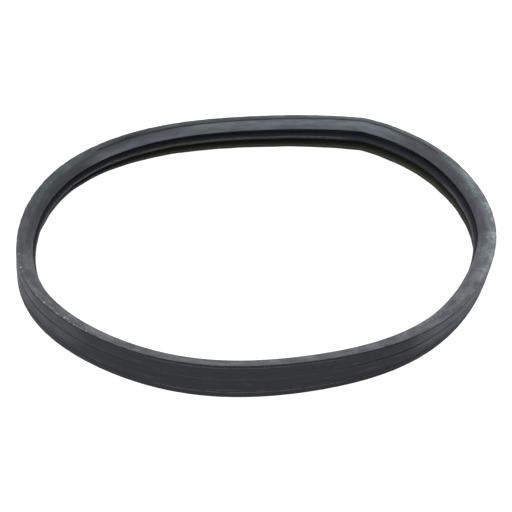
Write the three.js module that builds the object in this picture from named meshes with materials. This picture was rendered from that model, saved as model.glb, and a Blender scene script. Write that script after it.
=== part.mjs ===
// Sealing ring for a pressure cooker lid: one endless rubber moulding, lying flat at rest.
// Millimetres, +Z up. The ring stands on z = 0 with its box centred over the origin.
import * as THREE from "three";

// Size of the moulding. The mean radius is to the outer wall at mid-height.
const MEAN_RADIUS = 120;
const HEIGHT = 16.8;
const WALL_THICKNESS = 3.4;

// Outer wall: shallow grooves, low to high, with a slightly crowned band between each two.
const WALL_GROOVES = [
  { height: 3.0, width: 0.7, depth: 0.35 },
  { height: 9.8, width: 0.9, depth: 0.45 },
  { height: 16.0, width: 0.6, depth: 0.5 },
];
const BAND_CROWN = 0.3;

// Top face: a flat strip, a narrow channel, then the top lip, which curves down and in.
const STRIP_WIDTH = 3.3;
const CHANNEL_WIDTH = 1.0;
const CHANNEL_DEPTH = 0.5;
const TOP_LIP_REACH = 8.4;
const TOP_LIP_DROP = 4.1;
const TOP_LIP_SHOULDER_REACH = 6.3;
const TOP_LIP_SHOULDER_DROP = 0.5;
const TOP_LIP_SHOULDER_ROUND = 1.9;
const TOP_LIP_NOSE = 0.7;
const TOP_LIP_ROOT_HEIGHT = 13.1;

// Middle rib and bottom lip, both fins on the inside of the wall.
const RIB_REACH = 9.7;
const RIB_TIP_HEIGHT = 7.7;
const RIB_TIP_THICKNESS = 1.5;
const RIB_ROOT_THICKNESS = 2.6;
const BOTTOM_LIP_REACH = 7.8;
const BOTTOM_LIP_TIP_THICKNESS = 1.7;
const BOTTOM_LIP_ROOT_THICKNESS = 2.6;

// Corner rounds.
const BASE_ROUND = 0.8;
const EDGE_ROUND = 0.3;
const TIP_ROUND = 0.5;
const ROOT_ROUND = 0.7;
const ROUND_STEPS = 2;

const SEGMENTS = 90;

// The relaxed ring isn't a true circle. Each wave adds `size` millimetres of radius at
// `lobes` bulges, the first of them at the angle `toward` in degrees from +X.
const OUT_OF_ROUND = [
  { lobes: 2, size: 4.5, toward: 15 },
  { lobes: 3, size: 1.6, toward: 41 },
  { lobes: 4, size: 1.7, toward: 49 },
  { lobes: 5, size: 0.6, toward: 56 },
  { lobes: 6, size: 0.3, toward: 8 },
  { lobes: 7, size: 0.4, toward: 1 },
];

// One bend is tighter than the waves: a bulge of `size` millimetres in one place.
const BEND = { size: 1.8, toward: 59.5, halfWidth: 8.6 };

// The section also rolls a little as it goes round. A positive lean, in degrees, tips its
// top outwards. Each wave adds `size` degrees of lean in the same way.
const MEAN_LEAN = -1.8;
const LEAN_WAVES = [
  { lobes: 1, size: 8.6, toward: 5 },
  { lobes: 2, size: 4.7, toward: 3 },
  { lobes: 3, size: 3.1, toward: 85 },
  { lobes: 4, size: 0.6, toward: 59 },
  { lobes: 5, size: 1.1, toward: 39 },
];

const RUBBER = new THREE.MeshStandardMaterial({ color: 0x26272b, roughness: 0.72, metalness: 0 });

/** A corner of the section: `reach` inwards from the wall, height, and the round on it. */
function corner(reach, height, round = 0) {
  return { at: new THREE.Vector2(reach, height), round };
}

/** The outer wall's corners, going up: a groove, then a crowned band to the next one. */
function wallCorners() {
  return WALL_GROOVES.flatMap(({ height, width, depth }, i) => {
    const bandStart = height + width / 2;
    const groove = [corner(0, height - width / 2), corner(depth, height), corner(0, bandStart)];
    const next = WALL_GROOVES[i + 1];
    if (!next) return groove;
    const bandEnd = next.height - next.width / 2;
    const crown = corner(-BAND_CROWN, (bandStart + bandEnd) / 2, (bandEnd - bandStart) / 4);
    return [...groove, crown];
  });
}

/** The top face's corners, going inwards to the nose of the top lip. */
function topCorners() {
  const lipEnd = HEIGHT - TOP_LIP_DROP;
  return [
    corner(0, HEIGHT, EDGE_ROUND),
    corner(STRIP_WIDTH, HEIGHT),
    corner(STRIP_WIDTH + CHANNEL_WIDTH / 2, HEIGHT - CHANNEL_DEPTH),
    corner(STRIP_WIDTH + CHANNEL_WIDTH, HEIGHT),
    corner(TOP_LIP_SHOULDER_REACH, HEIGHT - TOP_LIP_SHOULDER_DROP, TOP_LIP_SHOULDER_ROUND),
    corner(TOP_LIP_REACH, lipEnd, EDGE_ROUND),
    corner(TOP_LIP_REACH - EDGE_ROUND, lipEnd - TOP_LIP_NOSE, EDGE_ROUND),
  ];
}

/** The inner side's corners, going down past the rib to the inner edge of the base. */
function innerCorners() {
  const ribTipHalf = RIB_TIP_THICKNESS / 2;
  const ribRootHalf = RIB_ROOT_THICKNESS / 2;
  return [
    corner(WALL_THICKNESS, TOP_LIP_ROOT_HEIGHT, ROOT_ROUND),
    corner(WALL_THICKNESS, RIB_TIP_HEIGHT + ribRootHalf, ROOT_ROUND),
    corner(RIB_REACH, RIB_TIP_HEIGHT + ribTipHalf, TIP_ROUND),
    corner(RIB_REACH, RIB_TIP_HEIGHT - ribTipHalf, TIP_ROUND),
    corner(WALL_THICKNESS, RIB_TIP_HEIGHT - ribRootHalf, ROOT_ROUND),
    corner(WALL_THICKNESS, BOTTOM_LIP_ROOT_THICKNESS, ROOT_ROUND),
    corner(BOTTOM_LIP_REACH, BOTTOM_LIP_TIP_THICKNESS, TIP_ROUND),
    corner(BOTTOM_LIP_REACH, 0, EDGE_ROUND),
  ];
}

/** The closed outline through the corners, with each round drawn as a short curve. */
function roundedOutline(corners) {
  const path = new THREE.Path();
  corners.forEach(({ at, round }, i) => {
    const before = corners.at(i - 1).at;
    const after = corners[(i + 1) % corners.length].at;
    const start = before.clone().sub(at).setLength(round).add(at);
    const end = after.clone().sub(at).setLength(round).add(at);
    if (i === 0) path.moveTo(start.x, start.y);
    else path.lineTo(start.x, start.y);
    if (round > 0) path.quadraticCurveTo(at.x, at.y, end.x, end.y);
  });
  path.closePath();
  return path.getPoints(ROUND_STEPS);
}

/** The sum of the waves at an angle, and how fast that sum changes with the angle. */
function waves(list, angle) {
  let value = 0;
  let slope = 0;
  for (const { lobes, size, toward } of list) {
    const phase = lobes * (angle - THREE.MathUtils.degToRad(toward));
    value += size * Math.cos(phase);
    slope -= size * lobes * Math.sin(phase);
  }
  return { value, slope };
}

/** The tighter bend's bulge at an angle, a bell curve, and its slope. */
function bend(angle) {
  const halfWidth = THREE.MathUtils.degToRad(BEND.halfWidth);
  const turn = angle - THREE.MathUtils.degToRad(BEND.toward);
  const away = Math.atan2(Math.sin(turn), Math.cos(turn)) / halfWidth;
  const value = BEND.size * Math.exp(-away * away);
  return { value, slope: (-2 * away * value) / halfWidth };
}

/** Where a point of the round ring lies on the relaxed one: off round, and leaning. */
function relax(point) {
  const angle = Math.atan2(point.y, point.x);
  const reach = MEAN_RADIUS - Math.hypot(point.x, point.y);
  const outOfRound = waves(OUT_OF_ROUND, angle);
  const bulge = bend(angle);
  const radius = MEAN_RADIUS + outOfRound.value + bulge.value;
  const slope = outOfRound.slope + bulge.slope;
  const outwards = new THREE.Vector2(radius, -slope).normalize();
  outwards.rotateAround(new THREE.Vector2(), angle);

  const lean = Math.tan(THREE.MathUtils.degToRad(MEAN_LEAN + waves(LEAN_WAVES, angle).value));
  const shift = (point.z - HEIGHT / 2) * lean - reach;
  const lift = reach * lean * (point.z / HEIGHT);
  return new THREE.Vector3(
    radius * Math.cos(angle) + outwards.x * shift,
    radius * Math.sin(angle) + outwards.y * shift,
    point.z + lift,
  );
}

/** The whole gasket: its section swept round a circle, relaxed, then centred on its base. */
function sealingRing() {
  const base = corner(0, 0, BASE_ROUND);
  const outline = roundedOutline([base, ...wallCorners(), ...topCorners(), ...innerCorners()]);
  const profile = outline.map((p) => new THREE.Vector2(MEAN_RADIUS - p.x, p.y));
  const geometry = new THREE.LatheGeometry(profile, SEGMENTS);
  geometry.rotateX(Math.PI / 2);

  const position = geometry.getAttribute("position");
  const point = new THREE.Vector3();
  for (let i = 0; i < position.count; i += 1) {
    const moved = relax(point.fromBufferAttribute(position, i));
    position.setXYZ(i, moved.x, moved.y, moved.z);
  }
  geometry.computeBoundingBox();
  const middle = geometry.boundingBox.getCenter(new THREE.Vector3());
  geometry.translate(-middle.x, -middle.y, 0);
  geometry.computeVertexNormals();

  const mesh = new THREE.Mesh(geometry, RUBBER);
  mesh.name = "sealing_ring";
  return mesh;
}

const group = new THREE.Group();
group.add(sealingRing());
export default group;
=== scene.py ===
"""Pressure cooker sealing ring: one endless moulding in black rubber, lying flat.

Metres throughout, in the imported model's frame: +Z up, the base on z = 0.
"""

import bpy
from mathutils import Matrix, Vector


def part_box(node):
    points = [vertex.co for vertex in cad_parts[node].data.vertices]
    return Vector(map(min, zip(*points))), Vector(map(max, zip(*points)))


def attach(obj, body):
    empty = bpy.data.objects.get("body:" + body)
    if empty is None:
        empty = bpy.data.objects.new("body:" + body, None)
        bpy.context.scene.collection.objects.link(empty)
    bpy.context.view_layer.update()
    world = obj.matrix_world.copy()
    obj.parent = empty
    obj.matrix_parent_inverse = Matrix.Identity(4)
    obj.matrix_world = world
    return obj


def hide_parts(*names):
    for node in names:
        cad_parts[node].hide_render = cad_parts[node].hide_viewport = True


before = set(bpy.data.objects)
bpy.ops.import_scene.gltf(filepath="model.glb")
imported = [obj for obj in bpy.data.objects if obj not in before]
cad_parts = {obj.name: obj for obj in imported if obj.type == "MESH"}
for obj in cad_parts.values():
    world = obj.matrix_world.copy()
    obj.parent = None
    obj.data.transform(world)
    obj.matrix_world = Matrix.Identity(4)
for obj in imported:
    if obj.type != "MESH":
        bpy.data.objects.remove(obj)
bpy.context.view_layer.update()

import math

import bpy
import numpy as np
from mathutils import Vector

MM = 0.001

# ---------------------------------------------------------------- the moulding's sizes

MEAN_RADIUS = 120 * MM
HEIGHT = 16.8 * MM
WALL_THICKNESS = 3.4 * MM

# Grooves round the outer wall, low to high: height, width, depth.
WALL_GROOVES = [
    (3.0 * MM, 0.7 * MM, 0.35 * MM),
    (9.8 * MM, 0.9 * MM, 0.45 * MM),
    (16.0 * MM, 0.6 * MM, 0.5 * MM),
]
BAND_CROWN = 0.3 * MM

STRIP_WIDTH = 3.3 * MM
CHANNEL_WIDTH = 1.0 * MM
CHANNEL_DEPTH = 0.5 * MM
CHANNEL_END = STRIP_WIDTH + CHANNEL_WIDTH
TOP_LIP_REACH = 8.4 * MM
TOP_LIP_DROP = 4.1 * MM
TOP_LIP_SHOULDER_REACH = 6.3 * MM
TOP_LIP_SHOULDER_DROP = 0.5 * MM
TOP_LIP_SHOULDER_ROUND = 1.9 * MM
TOP_LIP_NOSE = 0.7 * MM
TOP_LIP_END_HEIGHT = HEIGHT - TOP_LIP_DROP
TOP_LIP_ROOT_HEIGHT = 13.1 * MM

RIB_REACH = 9.7 * MM
RIB_TIP_HEIGHT = 7.7 * MM
RIB_TIP_THICKNESS = 1.5 * MM
RIB_ROOT_THICKNESS = 2.6 * MM
BOTTOM_LIP_REACH = 7.8 * MM
BOTTOM_LIP_TIP_THICKNESS = 1.7 * MM
BOTTOM_LIP_ROOT_THICKNESS = 2.6 * MM

BASE_ROUND = 0.8 * MM
EDGE_ROUND = 0.3 * MM
GROOVE_ROUND = 0.15 * MM
TIP_ROUND = 0.5 * MM
ROOT_ROUND = 0.7 * MM

# Waves of the relaxed ring: lobes, size, and the angle in degrees of the first bulge.
OUT_OF_ROUND = [
    (2, 4.5 * MM, 15),
    (3, 1.6 * MM, 41),
    (4, 1.7 * MM, 49),
    (5, 0.6 * MM, 56),
    (6, 0.3 * MM, 8),
    (7, 0.4 * MM, 1),
]
MEAN_LEAN = -1.8
LEAN_WAVES = [(1, 8.6, 5), (2, 4.7, 3), (3, 3.1, 85), (4, 0.6, 59), (5, 1.1, 39)]

# The one tighter bend and the corner in it: size, the angle it bulges towards, and its
# half width in degrees.
BEND = (1.8 * MM, 59.5, 8.6)
BEND_CORNER = (0.5 * MM, 60.5, 2.1)

# ---------------------------------------------------------------- the moulding's faults

# An arc is its first angle, its last angle and the fade outside them, all in degrees.

# Slow changes round the ring: each fault has a size, and waves of around 1 to multiply it.
LIP_WAVER = 0.10 * MM
LIP_WAVES = [(9, 0.5, 12), (17, 0.4, 5), (29, 0.3, 3)]
FIN_WAVER = 0.09 * MM
FIN_WAVES = [(19, 1.0, 12), (31, 0.8, 5), (53, 0.6, 3)]
GROOVE_VARIES = 0.2
GROOVE_WAVES = [(5, 0.5, 20), (13, 0.3, 7), (31, 0.3, 2)]
WALL_RIPPLE = 0.035 * MM
WALL_WAVES = [(23, 0.6, 4), (41, 0.5, 2), (67, 0.4, 1)]

# The wall's grooves are nearly filled on this arc and cut deeper everywhere else.
GROOVES_FILLED = (226, 290, 14)
GROOVE_FILLED_SHARE = 0.2
GROOVE_DEEP_SHARE = 2.0

# The channel is open on this arc, deeper than drawn, and closed elsewhere.
CHANNEL_OPEN = (38, 137, 5)
CHANNEL_DEEPER = 1.7

# On this arc the lip stays flat as far as a crest and then falls away at once: how far in
# the crest lies, its half width and how much it stands up.
LIP_CREST_ARC = (196, 346, 12)
LIP_CREST = (5.0 * MM, 0.55 * MM, 0.17 * MM)

# Raggedness of the wall's top edge, and the share of it that the foot has.
EDGE_RAGGED = 0.10 * MM
EDGE_WAVES = [(59, 0.4, 3), (97, 0.5, 1), (143, 0.4, 2), (181, 0.3, 1)]
EDGE_ZONE = 3 * EDGE_ROUND
FOOT_SHARE = 0.4
FOOT_ZONE = 2 * BASE_ROUND

# Single marks: angle, half width in degrees, size.
TOP_LIP_LONGER = (340, 14, 0.9 * MM)
BOTTOM_LIP_SHORTER = (147, 13, 0.6 * MM)
STRIP_DENT = (128, 6.0, 0.35 * MM)
STRIP_DENT_FROM = 0.3 * STRIP_WIDTH
BAND_CREASE = (39.5, 0.6, 0.45 * MM)
EDGE_NICK = (36, 0.35, 0.40 * MM)
EDGE_SPUR = (172, 0.9, 0.20 * MM)
VENT_NIBS = [(267.2, 0.14, 0.40 * MM), (269.6, 0.11, 0.25 * MM)]
VENT_NIB_HALF_HEIGHT = 0.35 * MM

# How finely the ring is drawn. Fine steps, in degrees, are used at the smallest marks.
STEPS_ROUND_RING = 480
FINE_STEP = 0.06
LONGEST_STEP = 0.9 * MM
ROUND_STEPS = 5

# ---------------------------------------------------------------- the rubber's look

BLOOM_ARC = (-14, 18, 14)
BLOOM_THINS = (0.6 * STRIP_WIDTH, 1.8 * STRIP_WIDTH)
BLOOM_THINNED = 0.8
WIDE_STRIP_ARC = (192, 346, 14)
STRIP_SOFT_END = (STRIP_WIDTH + CHANNEL_WIDTH / 2, STRIP_WIDTH + 3 * CHANNEL_WIDTH)
# The strip is darkened on this arc at the back, a painted shade: the arc, then how much darker.
STRIP_SHADE_ARC = (92, 188, 18)
STRIP_SHADE = 0.45
GREENED_ARC = (20, 166, 20)
# Painted sheen: light reflected off the lip at the back, lower on the lip beside it, faintly at the
# right, and off the upper wall on two arcs in front, laid on as a paler grey. The wall gets a share per
# arc, over a range of heights.
SHEEN_ARC = (54, 106, 14)
SHEEN_LOW_ARC = (96, 138, 10)
SHEEN_FAINT_ARC = (-20, 44, 14)
SHEEN_FAINT = 0.3
SHEEN_WALL_ARCS = [((314, 340, 8), 0.65), ((196, 222, 8), 0.35)]
SHEEN_WALL_HEIGHTS = (4.5 * MM, 8.0 * MM)
LINT_ARC = (197, 224, 8)
LINT_EDGE = (0.2 * STRIP_WIDTH, 0.4 * STRIP_WIDTH)
LINT_DENSITY = 0.6
# Arc in front that carries the wall lines: painted highlights and a worn line.
WALL_LINES_ARC = (250, 286, 9)
# Painted shade on the rib under the top lip: the arc where it covers the whole rib, its strength, how
# far out from the root it fades in there, and where it starts and ends behind the tip.
RIB_SHADE_ARC = (30, 62, 6)
RIB_SHADE = 0.85
RIB_SHADE_FULL = 0.5
RIB_SHADE_STARTS = (0.45 * RIB_REACH, 0.6 * RIB_REACH)
RIB_SHADE_ENDS = (RIB_REACH - 2.4 * MM, RIB_REACH - 1.0 * MM)
BROWNED_ARC = (-40, 124, 16)
DUSTY_ARC = (50, 130, 12)
DUSTY_END = 0.6 * RIB_REACH

# Lines on the wall: height, half width, strength. The lowest and the highest are painted highlights
# where the wall faces up just below a groove; the middle one is a whitish worn line.
HIGHLIGHT_AND_WEAR_LINES = [
    (2.8 * MM, 0.30 * MM, 0.8),
    (9.6 * MM, 0.25 * MM, 0.4),
    (15.1 * MM, 0.35 * MM, 0.5),
]

CONVEXITY_SPREAD = 0.5 * MM
CONVEXITY_DEPTH = 0.12 * MM

# Linear colours.
WALL_BLACK = (0.0100, 0.0101, 0.0130, 1)
WALL_GREY = (0.0160, 0.0161, 0.0200, 1)
STRIP_GREY = (0.096, 0.100, 0.110, 1)
STRIP_GREEN = (0.072, 0.098, 0.098, 1)
BLOOM_GREY = (0.200, 0.230, 0.242, 1)
# The next grey is a painted sheen, not the rubber's own colour.
SHEEN_GREY = (0.070, 0.083, 0.095, 1)
# The next grey is for scuffs and worn edges; on edges and nibs it is partly a painted highlight.
WORN_GREY = (0.050, 0.050, 0.054, 1)
# The next colour is painted shade, near black, for the hollows, grooves, channel, dent and rib.
SHADE_BLACK = (0.008, 0.009, 0.011, 1)
# The next grey is for the wall lines: painted highlights and a whitish worn line.
HIGHLIGHT_AND_WEAR_GREY = (0.080, 0.080, 0.088, 1)
LINT_GREY = (0.24, 0.24, 0.23, 1)
DUST_GREY = (0.058, 0.070, 0.080, 1)
LIP_BROWN = (0.021, 0.021, 0.010, 1)

# How much of each colour is laid on at most.
LINES_SHOW = 0.5
SCUFFS_SHOW = 0.5
WEAR_AND_HIGHLIGHT_SHOWS = 0.6
SHADE_SHOWS = 0.9

RUBBER_IOR = 1.37
WALL_ROUGHNESS = (0.42, 0.52)
STRIP_ROUGHER = 0.10
BLOOM_ROUGHER = 0.10
LIP_ROUGHER = 0.25
SHADE_ROUGHER = 0.50
# Painted shade along the wall's grooves, low to high: its strength at each, then its half width as a
# share of the groove's width.
GROOVE_SHADE = (0.1, 0.75, 1.0)
GROOVE_SHADE_WIDTH = 0.75
BUMP_HEIGHT = 0.06 * MM
BUMP_STRENGTH = 0.5
GRAIN_RELIEF = 0.6
LINES_RELIEF = 0.5

# Noise sizes: patches a few millimetres across, grain under one, streaks finer still. A
# streak pattern is its scale and its stretch, which draws it out along the ring.
PATCH_SCALE = 130.0
GRAIN_SCALE = 900.0
LINT_SCALE = 620.0
MOTTLE_DETAIL = 3.0
MOTTLE_ROUGHNESS = 0.6
MOTTLE_RANGE = (0.32, 0.68)
LINES = (1400.0, 0.008)
SMEARS = (420.0, 0.22)
BLOOM_STREAKS = (800.0, 0.10)
STREAK_DETAIL = 2.0
STREAK_RANGE = (0.3, 0.7)
SPECK_RIM = (0.2, 0.45)

# How a pattern thins a mark: the pattern's range, and the shares of the mark it becomes.
PATCHES_ON_STRIP = (0.0, 1.0, 0.6, 1.0)
SMEARS_ON_STRIP = (0.0, 1.0, 0.5, 1.0)
GRAIN_ON_STRIP = (0.0, 1.0, 0.7, 1.15)
SMEARS_ON_SHEEN = (0.0, 1.0, 0.6, 1.0)
PATCHES_ON_BLOOM = (0.2, 0.8, 0.3, 1.0)
STREAKS_ON_BLOOM = (0.2, 0.8, 0.45, 1.0)
GRAIN_ON_BLOOM = (0.1, 0.9, 0.6, 1.0)
SMEARS_SCUFFED = (0.75, 1.0, 0.0, 1.0)
LINES_SCUFFED = (0.5, 1.0, 0.0, 1.0)
GRAIN_ON_RIDGE = (0.2, 0.9, 0.0, 1.0)
PATCHES_ON_WALL_LINES = (0.2, 0.7, 0.3)


# ---------------------------------------------------------------- the section


def wall_corners():
    """Corners up the outer wall: each groove, then the crowned band to the next groove."""
    corners = []
    for i, (height, width, depth) in enumerate(WALL_GROOVES):
        band_start = height + width / 2
        corners.append((0, height - width / 2, GROOVE_ROUND))
        corners.append((depth, height, GROOVE_ROUND))
        corners.append((0, band_start, GROOVE_ROUND))
        if i + 1 < len(WALL_GROOVES):
            band_end = WALL_GROOVES[i + 1][0] - WALL_GROOVES[i + 1][1] / 2
            middle = (band_start + band_end) / 2
            corners.append((-BAND_CROWN, middle, (band_end - band_start) / 4))
    return corners


def top_corners():
    """Corners in over the top: the flat strip, the channel, then the lip down to its nose."""
    return [
        (0, HEIGHT, EDGE_ROUND),
        (STRIP_WIDTH, HEIGHT, EDGE_ROUND / 2),
        (STRIP_WIDTH + CHANNEL_WIDTH / 2, HEIGHT - CHANNEL_DEPTH, EDGE_ROUND / 2),
        (CHANNEL_END, HEIGHT, EDGE_ROUND / 2),
        (TOP_LIP_SHOULDER_REACH, HEIGHT - TOP_LIP_SHOULDER_DROP, TOP_LIP_SHOULDER_ROUND),
        (TOP_LIP_REACH, TOP_LIP_END_HEIGHT, EDGE_ROUND),
        (TOP_LIP_REACH - EDGE_ROUND, TOP_LIP_END_HEIGHT - TOP_LIP_NOSE, EDGE_ROUND),
    ]


def inner_corners():
    """Corners down the inner side: lip root, rib, and the bottom lip to the base."""
    half_tip = RIB_TIP_THICKNESS / 2
    half_root = RIB_ROOT_THICKNESS / 2
    return [
        (WALL_THICKNESS, TOP_LIP_ROOT_HEIGHT, ROOT_ROUND),
        (WALL_THICKNESS, RIB_TIP_HEIGHT + half_root, ROOT_ROUND),
        (RIB_REACH, RIB_TIP_HEIGHT + half_tip, TIP_ROUND),
        (RIB_REACH, RIB_TIP_HEIGHT - half_tip, TIP_ROUND),
        (WALL_THICKNESS, RIB_TIP_HEIGHT - half_root, ROOT_ROUND),
        (WALL_THICKNESS, BOTTOM_LIP_ROOT_THICKNESS, ROOT_ROUND),
        (BOTTOM_LIP_REACH, BOTTOM_LIP_TIP_THICKNESS, TIP_ROUND),
        (BOTTOM_LIP_REACH, 0, EDGE_ROUND),
    ]


def rounded_outline(corners):
    """Closed outline through the corners. Each round is the parabola that leaves and
    meets the straight sides `round` away from its corner; long sides get extra points."""
    points = np.array([c[:2] for c in corners], float)
    rounds = np.array([c[2] for c in corners], float)
    t = np.linspace(0, 1, ROUND_STEPS)[:, None]
    arcs = []
    for i, at in enumerate(points):
        before = points[i - 1] - at
        after = points[(i + 1) % len(points)] - at
        start = at + before * rounds[i] / np.linalg.norm(before)
        end = at + after * rounds[i] / np.linalg.norm(after)
        arcs.append((1 - t) ** 2 * start + 2 * t * (1 - t) * at + t**2 * end)
    runs = []
    for arc, following in zip(arcs, arcs[1:] + arcs[:1]):
        gap = np.linalg.norm(following[0] - arc[-1])
        count = int(gap // LONGEST_STEP)
        share = (np.arange(1, count + 1) / (count + 1))[:, None]
        runs += [arc, arc[-1] + (following[0] - arc[-1]) * share]
    return np.concatenate(runs)


# ---------------------------------------------------------------- shares and waves


def wave_sum(waves, angle):
    """Sum of size * cos(lobes * (angle - toward)), and its slope against the angle."""
    value = np.zeros_like(angle)
    slope = np.zeros_like(angle)
    for lobes, size, toward in waves:
        phase = lobes * (angle - math.radians(toward))
        value += size * np.cos(phase)
        slope -= size * lobes * np.sin(phase)
    return value, slope


def bell(angle, toward, half_width):
    """A bell curve round the ring: exp(-x * x), where x is the turn from `toward` over
    the half width, and its slope against the angle. Both are given in degrees."""
    width = math.radians(half_width)
    turn = angle - math.radians(toward)
    x = np.arctan2(np.sin(turn), np.cos(turn)) / width
    value = np.exp(-x * x)
    return value, -2 * x * value / width


def single_mark(angle, mark):
    """A single mark's size times its bell curve round the ring."""
    toward, half_width, size = mark
    return size * bell(angle, toward, half_width)[0]


def step_up(low, high, value):
    """0 below `low` and 1 above `high`, with the smooth climb 3tt - 2ttt between."""
    t = np.clip((value - low) / (high - low), 0, 1)
    return t * t * (3 - 2 * t)


def arc_share(angle, first, last, fade):
    """1 between two angles in degrees, falling to 0 over `fade` degrees outside them."""
    middle = math.radians((first + last) / 2)
    turn = np.degrees(np.abs(np.arctan2(np.sin(angle - middle), np.cos(angle - middle))))
    half = (last - first) / 2
    return 1 - step_up(half, half + fade, turn)


def on_outer_wall(reach, height):
    """True on the outer wall, from above the base round to below the top edge."""
    level = (height > BASE_ROUND) & (height < HEIGHT - EDGE_ROUND)
    return level & (reach < WALL_GROOVES[-1][2] + EDGE_ROUND)


def down_to_nose(height):
    """1 from the top face down to the end of the top lip, and 0 below its nose."""
    return step_up(TOP_LIP_END_HEIGHT - TOP_LIP_NOSE, TOP_LIP_END_HEIGHT, height)


def groove_share(angle):
    """How deep the wall's grooves are cut, as a share of their drawn depth."""
    filled = arc_share(angle, *GROOVES_FILLED)
    share = GROOVE_DEEP_SHARE + (GROOVE_FILLED_SHARE - GROOVE_DEEP_SHARE) * filled
    return share * (1 + GROOVE_VARIES * wave_sum(GROOVE_WAVES, angle)[0])


def nib_level(height):
    """A bell curve in height, centred on the groove that the vent nibs stand in."""
    level = (height - WALL_GROOVES[1][0]) / VENT_NIB_HALF_HEIGHT
    return np.exp(-level**2)


# ---------------------------------------------------------------- the section's faults
#
# Each fault is a bell or a wave in the angle, times a share that is 1 on its own part of
# the section and 0 off it. Reach and height are those of the section as drawn.


def wall_faults(angle, reach, height):
    """Reach added on the outer wall: the grooves cut deeper or filled up, slow ripples
    along the wall, and two nibs that stand out of it."""
    wall = on_outer_wall(reach, height)
    groove_floor = wall & (reach > 0)
    added = np.where(groove_floor, reach * (groove_share(angle) - 1), 0)
    added += np.where(wall, WALL_RIPPLE * wave_sum(WALL_WAVES, angle)[0], 0)
    for nib in VENT_NIBS:
        added -= wall * single_mark(angle, nib) * nib_level(height)
    return added


def edge_faults(angle, reach, height):
    """Reach added at the wall's two edges: both ragged, and the top one with a nick and a
    spur. The foot's raggedness is the top edge's, turned about a third of the way."""
    edge = step_up(HEIGHT - EDGE_ZONE, HEIGHT, height) * (1 - step_up(0, EDGE_ZONE, reach))
    foot = (1 - step_up(0, FOOT_ZONE, height)) * (reach < BASE_ROUND)
    ragged = EDGE_RAGGED * wave_sum(EDGE_WAVES, angle)[0]
    turned = np.roll(ragged, len(ragged) // 3, axis=0)
    at_edge = ragged + single_mark(angle, EDGE_NICK) - single_mark(angle, EDGE_SPUR)
    return edge * at_edge + FOOT_SHARE * foot * turned


def lip_faults(angle, reach, height):
    """Reach added to the lips: both waver, the top one reaches further on one arc, and
    the bottom one less far on another."""
    on_top_lip = down_to_nose(height) * step_up(CHANNEL_END, TOP_LIP_REACH, reach)
    low = 1 - step_up(BOTTOM_LIP_TIP_THICKNESS, RIB_TIP_HEIGHT, height)
    on_bottom_lip = low * step_up(WALL_THICKNESS, BOTTOM_LIP_REACH, reach)
    longer = LIP_WAVER * wave_sum(LIP_WAVES, angle)[0] + single_mark(angle, TOP_LIP_LONGER)
    shorter = single_mark(angle, BOTTOM_LIP_SHORTER) - FIN_WAVER * wave_sum(FIN_WAVES, angle)[0]
    return on_top_lip * longer - on_bottom_lip * shorter


def rib_faults(angle, reach, height):
    """Height added to the rib, whose tip wavers up and down."""
    from_rib = (height - RIB_TIP_HEIGHT) / RIB_ROOT_THICKNESS
    on_rib = np.exp(-from_rib**2) * step_up(WALL_THICKNESS + ROOT_ROUND, RIB_REACH, reach)
    return -FIN_WAVER * on_rib * wave_sum(FIN_WAVES, angle)[0]


def channel_faults(angle, reach, height):
    """Height added in the channel: up to the level of the surface beside it where it is
    closed, and further down where it is open."""
    inward = reach - CHANNEL_END
    fall = TOP_LIP_SHOULDER_DROP / (TOP_LIP_SHOULDER_REACH - CHANNEL_END)
    surface = HEIGHT - fall * np.maximum(inward, 0)
    in_channel = (inward > -CHANNEL_WIDTH - EDGE_ROUND) & (inward < EDGE_ROUND)
    at_top = height > HEIGHT - 2 * CHANNEL_DEPTH
    depth = np.where(in_channel & at_top, surface - height, 0)
    return depth * (1 - CHANNEL_DEEPER * arc_share(angle, *CHANNEL_OPEN))


def top_faults(angle, reach, height):
    """Height added on the top face: the lip's crest, one dent in the strip and one crease
    across the band behind it."""
    crest_reach, crest_half_width, crest_lift = LIP_CREST
    crest = np.exp(-(((reach - crest_reach) / crest_half_width) ** 2))
    lift = crest_lift * crest * arc_share(angle, *LIP_CREST_ARC)
    inner_strip = step_up(STRIP_DENT_FROM, STRIP_WIDTH, reach)
    inner_strip *= 1 - step_up(STRIP_WIDTH, CHANNEL_END, reach)
    on_band = step_up(CHANNEL_END, TOP_LIP_SHOULDER_REACH, reach)
    sunk = inner_strip * single_mark(angle, STRIP_DENT) + on_band * single_mark(angle, BAND_CREASE)
    return down_to_nose(height) * (lift - sunk)


def faulted_section(angle, reach, height):
    """The section as moulded, which changes with the angle: the drawn one and its faults."""
    reach, height = reach + 0 * angle, height + 0 * angle
    drawn = (angle, reach, height)
    in_reach = wall_faults(*drawn) + edge_faults(*drawn) + lip_faults(*drawn)
    in_height = rib_faults(*drawn) + channel_faults(*drawn) + top_faults(*drawn)
    return reach + in_reach, height + in_height


# ---------------------------------------------------------------- the relaxed ring


def relaxed_points(angle, reach, height):
    """Points of the ring. The wall's mid-height line is a circle plus the out-of-round
    waves; a section point lies inwards of it along the line's own normal, shifted by its
    height times the lean, and lifted by its reach times the lean, more so near the top."""
    wave, slope = wave_sum(OUT_OF_ROUND, angle)
    radius = MEAN_RADIUS + wave
    for size, toward, half_width in (BEND, BEND_CORNER):
        bulge, bulge_slope = bell(angle, toward, half_width)
        radius = radius + size * bulge
        slope = slope + size * bulge_slope
    length = np.hypot(radius, slope)
    out_x = (radius * np.cos(angle) + slope * np.sin(angle)) / length
    out_y = (radius * np.sin(angle) - slope * np.cos(angle)) / length
    lean = np.tan(np.radians(MEAN_LEAN + wave_sum(LEAN_WAVES, angle)[0]))
    shift = (height - HEIGHT / 2) * lean - reach
    x = radius * np.cos(angle) + out_x * shift
    y = radius * np.sin(angle) + out_y * shift
    z = height + reach * lean * (height / HEIGHT)
    return np.stack([x, y, z], axis=-1)


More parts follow.
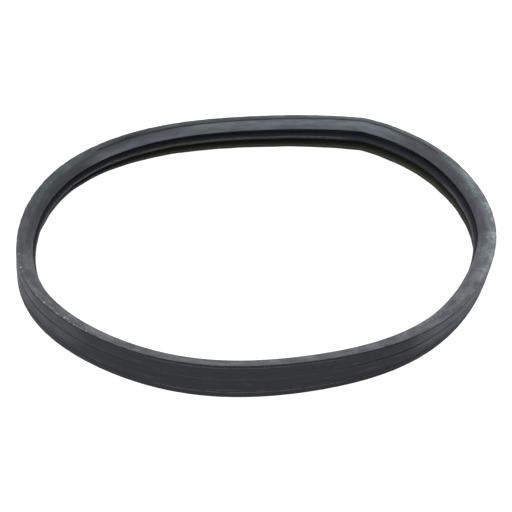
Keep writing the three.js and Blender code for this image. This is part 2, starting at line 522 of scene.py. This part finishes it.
def ring_angles():
    """Even steps round the ring, with fine steps added at the smallest marks."""
    steps = [np.arange(STEPS_ROUND_RING) * (360 / STEPS_ROUND_RING)]
    for toward, half_width, _ in VENT_NIBS + [EDGE_NICK, BAND_CREASE]:
        steps.append(np.arange(toward - 2 * half_width, toward + 2 * half_width, FINE_STEP))
    return np.radians(np.unique(np.concatenate(steps)))[:, None]


def ring_grid():
    """The ring as a grid: one parameter runs round the ring, the other round the section.

    Returns the points, where the circle's centre lies once the box is over the CAD ring's,
    the angles, and the section's own reach and height.
    """
    base = [(0, 0, BASE_ROUND)]
    outline = rounded_outline(base + wall_corners() + top_corners() + inner_corners())
    angle = ring_angles()
    reach, height = outline.T[:, None, :]
    grid = relaxed_points(angle, *faulted_section(angle, reach, height))
    node_lo, node_hi = (np.array(c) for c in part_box("sealing_ring"))
    flat = grid.reshape(-1, 3)
    centre = (node_lo + node_hi) / 2 - (flat.min(0) + flat.max(0)) / 2
    centre[2] = 0
    return grid + centre, centre, angle, outline


def ring_mesh(name, grid):
    """A closed mesh of the grid: four-sided faces that join up both round the ring and
    round the section, facing outwards."""
    rows, columns = grid.shape[:2]
    i = np.arange(rows)[:, None]
    j = np.arange(columns)[None, :]
    i2, j2 = (i + 1) % rows, (j + 1) % columns
    faces = np.stack(
        [i * columns + j, i2 * columns + j, i2 * columns + j2, i * columns + j2], axis=-1
    ).reshape(-1, 4)
    mesh = bpy.data.meshes.new(name)
    mesh.from_pydata(grid.reshape(-1, 3).tolist(), [], faces.tolist())
    mesh.update()
    mesh.polygons.foreach_set("use_smooth", np.ones(len(faces), bool))
    return mesh


def linked(name, mesh):
    piece = bpy.data.objects.new(name, mesh)
    bpy.context.scene.collection.objects.link(piece)
    return piece


# ---------------------------------------------------------------- marks on the rubber


def convexity(outline):
    """How far each section point stands out from its neighbours: its distance from their
    bell-weighted mean, counted outwards, so ridges are positive and grooves negative."""
    ahead = np.roll(outline, -1, axis=0) - outline
    behind = outline - np.roll(outline, 1, axis=0)
    step = np.linalg.norm(ahead, axis=1)
    weight = (step + np.roll(step, 1)) / 2
    away = np.linalg.norm(outline[:, None, :] - outline[None, :, :], axis=2)
    share = np.exp(-((away / CONVEXITY_SPREAD) ** 2)) * weight
    mean = share @ outline / share.sum(axis=1, keepdims=True)
    along = ahead + behind
    outward = np.stack([-along[:, 1], along[:, 0]], axis=1)
    outward /= np.linalg.norm(outward, axis=1, keepdims=True)
    return ((outline - mean) * outward).sum(axis=1)


def top_face_share(reach, height):
    """1 on the strip, the channel and the lip's flat part, and 0 on the wall and inside."""
    top = step_up(TOP_LIP_END_HEIGHT, HEIGHT - 2 * CHANNEL_DEPTH, height)
    return np.where(on_outer_wall(reach, height), 0, top)


def lip_face_share(reach, height):
    """1 from the strip in over the lip to its nose, and 0 on the wall and below."""
    return np.where(on_outer_wall(reach, height), 0, down_to_nose(height))


def place_marks(angle, reach, height):
    """Where a point lies. `around` is the angle as a circle with the section's height, and
    `reach` is the way in from the wall. The height is level over the channel."""
    top = top_face_share(reach, height)
    over_channel = (reach > STRIP_WIDTH / 2) & (reach < CHANNEL_END) & (top == 1)
    x = MEAN_RADIUS * np.cos(angle) + 0 * reach
    y = MEAN_RADIUS * np.sin(angle) + 0 * reach
    level = np.where(over_channel, HEIGHT, height)
    return {"around": np.stack([x, y, level], axis=-1), "reach": reach}


def ridge_and_hollow_marks(angle, reach, height, stands):
    """`ridge` is the wear of edges and nibs, partly a painted highlight on them, and the second
    share is painted shade in corners. A closed channel has neither."""
    top = top_face_share(reach, height)
    closed = top * (reach > STRIP_WIDTH / 2) * (1 - arc_share(angle, *CHANNEL_OPEN))
    nibs = sum(bell(angle, toward, half_width)[0] for toward, half_width, _ in VENT_NIBS)
    nibs = on_outer_wall(reach, height) * nibs * nib_level(height)
    return {
        "ridge": np.maximum(np.clip(stands, 0, 1) * (1 - closed), nibs),
        "hollow_shade": np.clip(-stands, 0, 1) * (1 - closed),
    }


def strip_marks(angle, reach, height):
    """`strip` is the greyer strip, which ends at the open channel, fades past the closed
    one and covers the whole lip in front; on an arc at the back it is darkened, a painted
    shade. `bloom` lies on it at the right and `lint` along its outer edge at the left."""
    top = top_face_share(reach, height)
    past_channel = step_up(STRIP_WIDTH, CHANNEL_END, reach)
    soft_end = step_up(*STRIP_SOFT_END, reach)
    ends = soft_end + (past_channel - soft_end) * arc_share(angle, *CHANNEL_OPEN)
    wide = lip_face_share(reach, height) * arc_share(angle, *WIDE_STRIP_ARC)
    # Painted shade: the strip darker on an arc at the back.
    unshaded = 1 - STRIP_SHADE * arc_share(angle, *STRIP_SHADE_ARC)
    bloom_left = 1 - BLOOM_THINNED * step_up(*BLOOM_THINS, reach)
    edge = 1 - step_up(*LINT_EDGE, reach)
    return {
        "strip": np.maximum(top * (1 - ends), wide) * unshaded,
        "bloom": top * bloom_left * arc_share(angle, *BLOOM_ARC),
        "lint": top * edge * arc_share(angle, *LINT_ARC),
        "greened": 0 * reach + arc_share(angle, *GREENED_ARC),
    }


def sheen_marks(angle, reach, height):
    """A painted sheen, light reflected off the rubber laid on as a paler grey: on the lip past the
    channel at the back, lower down the lip next to that, faintly at the right, and on the upper
    wall on two arcs in front."""
    sheened = step_up(STRIP_WIDTH, CHANNEL_END, reach) * arc_share(angle, *SHEEN_ARC)
    low_band = step_up(CHANNEL_END, TOP_LIP_REACH, reach)
    sheened = np.maximum(sheened, low_band * arc_share(angle, *SHEEN_LOW_ARC))
    sheened = np.maximum(sheened, SHEEN_FAINT * arc_share(angle, *SHEEN_FAINT_ARC))
    sides = sum(share * arc_share(angle, *arc) for arc, share in SHEEN_WALL_ARCS)
    wall = on_outer_wall(reach, height) * step_up(*SHEEN_WALL_HEIGHTS, height)
    return {"painted_sheen": np.maximum(lip_face_share(reach, height) * sheened, wall * sides)}


def wall_marks(angle, reach, height):
    """`grooved` is how open the wall's grooves are, and the second share is the arc in front that
    carries lines on the wall: painted highlights and one whitish worn line.
    """
    wall = on_outer_wall(reach, height)
    open_share = (groove_share(angle) - GROOVE_FILLED_SHARE) / (GROOVE_DEEP_SHARE - GROOVE_FILLED_SHARE)
    return {
        "grooved": wall * np.clip(open_share, 0, 1),
        "lined_wall": wall * arc_share(angle, *WALL_LINES_ARC),
    }


def rib_shade_share(angle, reach, height, inside):
    """Painted shade inside the ring, above the bottom lip, where the top lip shades the rib:
    behind the rib's tip, and over the whole rib on one arc."""
    from_root = step_up(WALL_THICKNESS + ROOT_ROUND, RIB_REACH - TIP_ROUND, reach)
    whole_rib = step_up(0, RIB_SHADE_FULL, from_root) * arc_share(angle, *RIB_SHADE_ARC)
    behind_tip = step_up(*RIB_SHADE_STARTS, reach) * (1 - step_up(*RIB_SHADE_ENDS, reach))
    return RIB_SHADE * inside * (1 - bottom_lip_share(height)) * np.maximum(whole_rib, behind_tip)


def bottom_lip_share(height):
    """1 up to the bottom lip's root, falling to 0 at the underside of the rib."""
    return 1 - step_up(BOTTOM_LIP_ROOT_THICKNESS, RIB_TIP_HEIGHT - RIB_TIP_THICKNESS, height)


def shade_and_dirt_marks(angle, reach, height):
    """Painted shade fills the open channel and the dent, and lies on the rib inside. `dusty` is
    the root of the fins inside, and `browned` the bottom lip."""
    top = top_face_share(reach, height)
    middle = STRIP_WIDTH + CHANNEL_WIDTH / 2
    channel = np.clip(1 - np.abs(reach - middle) / CHANNEL_WIDTH, 0, 1)
    channel = channel * arc_share(angle, *CHANNEL_OPEN)
    dent = step_up(0, STRIP_WIDTH, reach) * (1 - step_up(STRIP_WIDTH, CHANNEL_END, reach))
    dent = dent * bell(angle, *STRIP_DENT[:2])[0]
    inside = step_up(WALL_THICKNESS / 2, WALL_THICKNESS, reach) * (1 - down_to_nose(height))
    root = 1 - step_up(WALL_THICKNESS + ROOT_ROUND, DUSTY_END, reach)
    # Painted shade on the rib, under the top lip.
    rib_shade = rib_shade_share(angle, reach, height, inside)
    return {
        "painted_shade": np.maximum(top * np.maximum(channel, dent), rib_shade),
        "dusty": inside * root * arc_share(angle, *DUSTY_ARC),
        "browned": inside * bottom_lip_share(height) * arc_share(angle, *BROWNED_ARC),
    }


def mark_ring(mesh, angle, outline):
    """Stores every mark on the mesh, one number or one vector to a point, for the rubber's
    shader to read. All but `around` and `reach` are shares from 0 to 1."""
    reach, height = (0 * angle + line for line in outline.T)
    marks = place_marks(angle, reach, height)
    marks |= ridge_and_hollow_marks(angle, reach, height, convexity(outline) / CONVEXITY_DEPTH)
    for face_marks in (strip_marks, sheen_marks, wall_marks, shade_and_dirt_marks):
        marks |= face_marks(angle, reach, height)
    for name, values in marks.items():
        vector = values.ndim == 3
        layer = mesh.attributes.new(name, "FLOAT_VECTOR" if vector else "FLOAT", "POINT")
        layer.data.foreach_set("vector" if vector else "value", values.astype("f").ravel())


# ---------------------------------------------------------------- shader helpers


def node(tree, kind, **settings):
    made = tree.nodes.new(kind)
    for name, value in settings.items():
        setattr(made, name, value)
    return made


def feed(tree, socket, value):
    """Links an output to the socket, or sets a plain value on it."""
    if isinstance(value, bpy.types.NodeSocket):
        tree.links.new(value, socket)
    else:
        socket.default_value = value


def maths(tree, operation, *values, clamp=False):
    made = node(tree, "ShaderNodeMath", operation=operation, use_clamp=clamp)
    for socket, value in zip(made.inputs, values):
        feed(tree, socket, value)
    return made.outputs["Value"]


def product(tree, first, *others):
    for value in others:
        first = maths(tree, "MULTIPLY", first, value)
    return first


def ranged(tree, value, low, high, to_low=0.0, to_high=1.0):
    """A smooth step of the value, from `to_low` at `low` to `to_high` at `high`."""
    made = node(tree, "ShaderNodeMapRange", interpolation_type="SMOOTHSTEP")
    for socket, number in zip(made.inputs, (value, low, high, to_low, to_high)):
        feed(tree, socket, number)
    return made.outputs["Result"]


def blended(tree, amount, first, second):
    made = node(tree, "ShaderNodeMix", data_type="RGBA")
    colours = [socket for socket in made.inputs if socket.type == "RGBA"]
    feed(tree, made.inputs["Factor"], amount)
    feed(tree, colours[0], first)
    feed(tree, colours[1], second)
    return next(socket for socket in made.outputs if socket.type == "RGBA")


def attribute(tree, name, output="Fac"):
    return node(tree, "ShaderNodeAttribute", attribute_name=name).outputs[output]


def new_group(name, inputs, outputs):
    """An empty shader group with named sockets, given as (name, kind) pairs."""
    group = bpy.data.node_groups.new(name, "ShaderNodeTree")
    for socket, kind in inputs:
        group.interface.new_socket(socket, in_out="INPUT", socket_type="NodeSocket" + kind)
    for socket, kind in outputs:
        group.interface.new_socket(socket, in_out="OUTPUT", socket_type="NodeSocket" + kind)
    return group, node(group, "NodeGroupInput").outputs, node(group, "NodeGroupOutput").inputs


def placed(tree, group, values):
    made = node(tree, "ShaderNodeGroup", node_tree=group)
    for name, value in values.items():
        feed(tree, made.inputs[name], value)
    return made.outputs[0]


# ---------------------------------------------------------------- patterns


def mottle_group():
    """Cloudy patches of several sizes, 0 to 1."""
    group, given, made = new_group(
        "mottle", [("Coordinates", "Vector"), ("Scale", "Float")], [("Value", "Float")]
    )
    noise = node(group, "ShaderNodeTexNoise", noise_dimensions="3D")
    feed(group, noise.inputs["Vector"], given["Coordinates"])
    feed(group, noise.inputs["Scale"], given["Scale"])
    feed(group, noise.inputs["Detail"], MOTTLE_DETAIL)
    feed(group, noise.inputs["Roughness"], MOTTLE_ROUGHNESS)
    feed(group, made["Value"], ranged(group, noise.outputs["Fac"], *MOTTLE_RANGE))
    return group


def streak_group():
    """Fine lines that run round the ring: noise stretched along the angle."""
    group, given, made = new_group(
        "mould_streaks",
        [("Around", "Vector"), ("Reach", "Float"), ("Scale", "Float"), ("Stretch", "Float")],
        [("Value", "Float")],
    )
    shares = node(group, "ShaderNodeCombineXYZ")
    feed(group, shares.inputs["X"], given["Stretch"])
    feed(group, shares.inputs["Y"], given["Stretch"])
    feed(group, shares.inputs["Z"], 1.0)
    squeezed = node(group, "ShaderNodeVectorMath", operation="MULTIPLY")
    feed(group, squeezed.inputs[0], given["Around"])
    feed(group, squeezed.inputs[1], shares.outputs["Vector"])
    noise = node(group, "ShaderNodeTexNoise", noise_dimensions="4D")
    feed(group, noise.inputs["Vector"], squeezed.outputs["Vector"])
    feed(group, noise.inputs["W"], given["Reach"])
    feed(group, noise.inputs["Scale"], given["Scale"])
    feed(group, noise.inputs["Detail"], STREAK_DETAIL)
    feed(group, made["Value"], ranged(group, noise.outputs["Fac"], *STREAK_RANGE))
    return group


def wall_line_group():
    """A thin line at one height of the wall, as strong as `Strength`."""
    group, given, made = new_group(
        "wall_line",
        [("Height", "Float"), ("Level", "Float"), ("Half Width", "Float"), ("Strength", "Float")],
        [("Mask", "Float")],
    )
    away = maths(group, "ABSOLUTE", maths(group, "SUBTRACT", given["Height"], given["Level"]))
    share = maths(group, "DIVIDE", away, given["Half Width"])
    line = maths(group, "SUBTRACT", 1.0, share, clamp=True)
    feed(group, made["Mask"], maths(group, "MULTIPLY", line, given["Strength"]))
    return group


def speck_group():
    """Small round specks, denser where `Density` is higher."""
    group, given, made = new_group(
        "lint_specks",
        [("Coordinates", "Vector"), ("Scale", "Float"), ("Density", "Float")],
        [("Mask", "Float")],
    )
    cells = node(group, "ShaderNodeTexVoronoi", voronoi_dimensions="3D", feature="F1")
    feed(group, cells.inputs["Vector"], given["Coordinates"])
    feed(group, cells.inputs["Scale"], given["Scale"])
    picked = node(group, "ShaderNodeSeparateColor")
    feed(group, picked.inputs["Color"], cells.outputs["Color"])
    kept = maths(group, "LESS_THAN", picked.outputs[0], given["Density"])
    spot = ranged(group, cells.outputs["Distance"], *SPECK_RIM, 1.0, 0.0)
    feed(group, made["Mask"], maths(group, "MULTIPLY", kept, spot))
    return group


def rubber_patterns(tree):
    """The patterns that the rubber's colour, roughness and relief share, by name."""
    mottle, streaks, specks = mottle_group(), streak_group(), speck_group()
    here = node(tree, "ShaderNodeTexCoord").outputs["Object"]
    around = attribute(tree, "around", "Vector")
    split = node(tree, "ShaderNodeSeparateXYZ")
    feed(tree, split.inputs["Vector"], around)
    reach = attribute(tree, "reach")
    clouds = {"patches": PATCH_SCALE, "grain": GRAIN_SCALE}
    runs = {"lines": LINES, "smears": SMEARS, "bloom_streaks": BLOOM_STREAKS}
    made = {"height": split.outputs["Z"]}
    for name, scale in clouds.items():
        made[name] = placed(tree, mottle, {"Coordinates": here, "Scale": scale})
    for name, (scale, stretch) in runs.items():
        sizes = {"Around": around, "Reach": reach, "Scale": scale, "Stretch": stretch}
        made[name] = placed(tree, streaks, sizes)
    density = product(tree, attribute(tree, "lint"), LINT_DENSITY)
    made["lint"] = placed(tree, specks, {"Coordinates": here, "Scale": LINT_SCALE, "Density": density})
    return made


# ---------------------------------------------------------------- rubber


def bloom_mask(tree, pattern):
    return product(
        tree,
        attribute(tree, "bloom"),
        ranged(tree, pattern["patches"], *PATCHES_ON_BLOOM),
        ranged(tree, pattern["bloom_streaks"], *STREAKS_ON_BLOOM),
        ranged(tree, pattern["grain"], *GRAIN_ON_BLOOM),
    )


def painted_shade_mask(tree, pattern, wall_line):
    """Painted shade in the hollows, the channel, the dent and on the rib, and along the wall's open
    grooves.
    """
    painted_shade = maths(tree, "MAXIMUM", attribute(tree, "hollow_shade"), attribute(tree, "painted_shade"))
    grooved = attribute(tree, "grooved")
    for (level, width, _), strength in zip(WALL_GROOVES, GROOVE_SHADE):
        line = placed(tree, wall_line, {
            "Height": pattern["height"],
            "Level": level,
            "Half Width": width * GROOVE_SHADE_WIDTH,
            "Strength": product(tree, grooved, strength),
        })
        painted_shade = maths(tree, "MAXIMUM", painted_shade, line)
    return painted_shade


def moulded_colour(tree, pattern, bloom):
    """Near-black rubber with finer lines, the greyer strip, a painted sheen, and the bloom."""
    lines, smears = pattern["lines"], pattern["smears"]
    colour = blended(tree, product(tree, lines, LINES_SHOW), WALL_BLACK, WALL_GREY)
    strip = product(
        tree,
        attribute(tree, "strip"),
        ranged(tree, pattern["patches"], *PATCHES_ON_STRIP),
        ranged(tree, smears, *SMEARS_ON_STRIP),
        ranged(tree, pattern["grain"], *GRAIN_ON_STRIP),
    )
    strip_colour = blended(tree, attribute(tree, "greened"), STRIP_GREY, STRIP_GREEN)
    colour = blended(tree, strip, colour, strip_colour)
    # Painted sheen: reflected light laid on as a paler grey, broken up by the smears.
    painted_sheen = product(tree, attribute(tree, "painted_sheen"), ranged(tree, smears, *SMEARS_ON_SHEEN))
    colour = blended(tree, painted_sheen, colour, SHEEN_GREY)
    return blended(tree, bloom, colour, BLOOM_GREY)


def used_colour(tree, colour, pattern):
    """Scuffs over the whole ring, dust and brown inside it, and worn edges that also carry a painted
    highlight.
    """
    lines, smears = pattern["lines"], pattern["smears"]
    scuffs = product(
        tree,
        ranged(tree, smears, *SMEARS_SCUFFED),
        ranged(tree, lines, *LINES_SCUFFED),
        SCUFFS_SHOW,
    )
    colour = blended(tree, scuffs, colour, WORN_GREY)
    colour = blended(tree, attribute(tree, "dusty"), colour, DUST_GREY)
    colour = blended(tree, attribute(tree, "browned"), colour, LIP_BROWN)
    grain = ranged(tree, pattern["grain"], *GRAIN_ON_RIDGE)
    # Edges and nibs paled: partly wear, partly a painted highlight.
    worn_and_lit = product(tree, attribute(tree, "ridge"), grain, WEAR_AND_HIGHLIGHT_SHOWS)
    return blended(tree, worn_and_lit, colour, WORN_GREY)


def highlight_and_wear_colour(tree, colour, pattern, wall_line):
    """Lines along the front wall, broken up by the patches: two painted highlights and one whitish worn
    line.
    """
    lined_wall = attribute(tree, "lined_wall")
    for level, half_width, strength in HIGHLIGHT_AND_WEAR_LINES:
        breaks = ranged(tree, pattern["patches"], *PATCHES_ON_WALL_LINES, strength)
        line = placed(tree, wall_line, {
            "Height": pattern["height"],
            "Level": level,
            "Half Width": half_width,
            "Strength": product(tree, lined_wall, breaks),
        })
        colour = blended(tree, line, colour, HIGHLIGHT_AND_WEAR_GREY)
    return colour


def rubber_roughness(tree, pattern, bloom, painted_shade):
    """Duller on the strip, under the bloom, on the bottom lip and under the painted shade."""
    rough = ranged(tree, pattern["patches"], 0.0, 1.0, *WALL_ROUGHNESS)
    rougher = [
        (attribute(tree, "strip"), STRIP_ROUGHER),
        (bloom, BLOOM_ROUGHER),
        (attribute(tree, "browned"), LIP_ROUGHER),
        (painted_shade, SHADE_ROUGHER),
    ]
    for mask, amount in rougher:
        rough = maths(tree, "ADD", rough, product(tree, mask, amount), clamp=True)
    return rough


def rubber_relief(tree, pattern):
    """Grain, fine lines and lint, as a bumped normal."""
    grain = product(tree, pattern["grain"], GRAIN_RELIEF)
    lines = product(tree, pattern["lines"], LINES_RELIEF)
    relief = maths(tree, "ADD", maths(tree, "ADD", grain, lines), pattern["lint"])
    bump = node(tree, "ShaderNodeBump")
    feed(tree, bump.inputs["Strength"], BUMP_STRENGTH)
    feed(tree, bump.inputs["Distance"], BUMP_HEIGHT)
    feed(tree, bump.inputs["Height"], relief)
    return bump.outputs["Normal"]


def rubber():
    """Black rubber: dark and even on the wall, greyer and duller on the strip, with a pale bloom on
    one side, worn edges that are partly a painted highlight, painted highlights and a worn line on
    the front wall, a painted sheen on the lip and upper wall, painted shade in the hollows,
    grooves and channel and on the rib, and lint at one edge."""
    material = bpy.data.materials.new("black_rubber")
    material.use_nodes = True
    tree = material.node_tree
    shader = tree.nodes["Principled BSDF"]
    pattern, wall_line = rubber_patterns(tree), wall_line_group()
    bloom = bloom_mask(tree, pattern)
    painted_shade = painted_shade_mask(tree, pattern, wall_line)
    colour = used_colour(tree, moulded_colour(tree, pattern, bloom), pattern)
    # Painted shade: the hollows, grooves, channel, dent and rib darkened towards near black.
    colour = blended(tree, product(tree, painted_shade, SHADE_SHOWS), colour, SHADE_BLACK)
    # Painted highlights below two of the wall's grooves, and a whitish worn line at the middle one.
    colour = highlight_and_wear_colour(tree, colour, pattern, wall_line)
    colour = blended(tree, pattern["lint"], colour, LINT_GREY)
    feed(tree, shader.inputs["Base Color"], colour)
    feed(tree, shader.inputs["Roughness"], rubber_roughness(tree, pattern, bloom, painted_shade))
    feed(tree, shader.inputs["Normal"], rubber_relief(tree, pattern))
    shader.inputs["IOR"].default_value = RUBBER_IOR
    return material


grid, wall_centre, angle, outline = ring_grid()
ring = linked("sealing_ring_rubber", ring_mesh("sealing_ring_rubber", grid))
mark_ring(ring.data, angle, outline)
ring.data.materials.append(rubber())
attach(ring, "root")
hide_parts("sealing_ring")


# ---------------------------------------------------------------- studio

FLOOR_HALF_SIZE = 3.0
FLOOR_PALE = (0.55, 0.55, 0.55, 1)
FLOOR_ROUGHNESS = 0.9
FLOOR_GLOW = 0.75
FLOOR_WHITE = 1.3

# Softboxes: azimuth (0 is in front and 90 on the right) and elevation in degrees,
# distance, size, radiance and colour.
WHITE = (1.0, 1.0, 1.0)
COOL = (0.95, 1.0, 1.05)
SOFTBOXES = {
    "overhead": (0, 88, 1.1, (1.0, 1.0), 1.6, WHITE),
    "front": (0, 50, 1.2, (1.0, 0.6), 2.7, COOL),
    "right": (90, 50, 1.2, (0.9, 0.7), 0.5, COOL),
    "right_low": (90, 18, 1.3, (1.0, 0.6), 2.0, COOL),
    "back_right_low": (135, 18, 1.3, (1.0, 0.6), 0.85, WHITE),
    "back_left": (225, 50, 1.2, (0.8, 0.7), 1.0, COOL),
    "left": (270, 50, 1.2, (0.9, 0.7), 1.6, COOL),
    "left_low": (270, 18, 1.3, (1.0, 0.6), 1.3, COOL),
}
WORLD_STRENGTH = 0.75

# The camera aims at the circle's centre on the floor, and then slides a little.
CAMERA_LENS = 123.2
CAMERA_SENSOR_WIDTH = 36
CAMERA_CLIP_START = 0.05
CAMERA_ELEVATION = 35
CAMERA_DISTANCE = 912 * MM
CAMERA_LEFT = 0.07 * MM
CAMERA_DOWN = 1.67 * MM


def studio_white():
    """Matt pale grey to the light that falls on it, and nearly shadowless to the eye."""
    material = bpy.data.materials.new("studio_white")
    material.use_nodes = True
    tree = material.node_tree
    matt = tree.nodes["Principled BSDF"]
    matt.inputs["Base Color"].default_value = FLOOR_PALE
    matt.inputs["Roughness"].default_value = FLOOR_ROUGHNESS
    glow = node(tree, "ShaderNodeEmission")
    glow.inputs["Strength"].default_value = FLOOR_WHITE
    seen = node(tree, "ShaderNodeLightPath").outputs["Is Camera Ray"]
    both = node(tree, "ShaderNodeMixShader")
    feed(tree, both.inputs["Fac"], product(tree, seen, FLOOR_GLOW))
    feed(tree, both.inputs[1], matt.outputs["BSDF"])
    feed(tree, both.inputs[2], glow.outputs["Emission"])
    feed(tree, tree.nodes["Material Output"].inputs["Surface"], both.outputs["Shader"])
    return material


def floor():
    half = FLOOR_HALF_SIZE
    corners = [(-half, -half, 0), (half, -half, 0), (half, half, 0), (-half, half, 0)]
    mesh = bpy.data.meshes.new("floor")
    mesh.from_pydata(corners, [], [(0, 1, 2, 3)])
    piece = linked("floor", mesh)
    piece.data.materials.append(studio_white())
    return piece


def softbox(name, azimuth, elevation, distance, size, radiance, colour):
    """An area light aimed at the ring."""
    data = bpy.data.lights.new(name, "AREA")
    data.shape = "RECTANGLE"
    data.size, data.size_y = size
    data.energy = radiance * math.pi * size[0] * size[1]
    data.color = colour
    light = bpy.data.objects.new(name, data)
    a, e = math.radians(azimuth), math.radians(elevation)
    away = Vector((math.sin(a) * math.cos(e), -math.cos(a) * math.cos(e), math.sin(e)))
    light.location = away * distance
    light.rotation_euler = away.to_track_quat("Z", "Y").to_euler()
    bpy.context.scene.collection.objects.link(light)


def studio_world():
    world = bpy.data.worlds.new("studio")
    world.use_nodes = True
    background = world.node_tree.nodes["Background"]
    background.inputs["Color"].default_value = (*WHITE, 1)
    background.inputs["Strength"].default_value = WORLD_STRENGTH
    bpy.context.scene.world = world


def camera():
    """Looks down at the ring from the front, from nearly a metre away on a long lens."""
    data = bpy.data.cameras.new("camera")
    data.lens = CAMERA_LENS
    data.sensor_width = CAMERA_SENSOR_WIDTH
    data.clip_start = CAMERA_CLIP_START
    elevation = math.radians(CAMERA_ELEVATION)
    right = np.array([1.0, 0, 0])
    up = np.array([0, math.sin(elevation), math.cos(elevation)])
    back = np.array([0, -math.cos(elevation), math.sin(elevation)])
    eye = bpy.data.objects.new("camera", data)
    eye.location = wall_centre + back * CAMERA_DISTANCE - right * CAMERA_LEFT - up * CAMERA_DOWN
    eye.rotation_euler = (math.pi / 2 - elevation, 0, 0)
    bpy.context.scene.collection.objects.link(eye)
    bpy.context.scene.camera = eye


floor()
for name, settings in SOFTBOXES.items():
    softbox(name, *settings)
studio_world()
bpy.context.scene.view_settings.view_transform = "Standard"
camera()
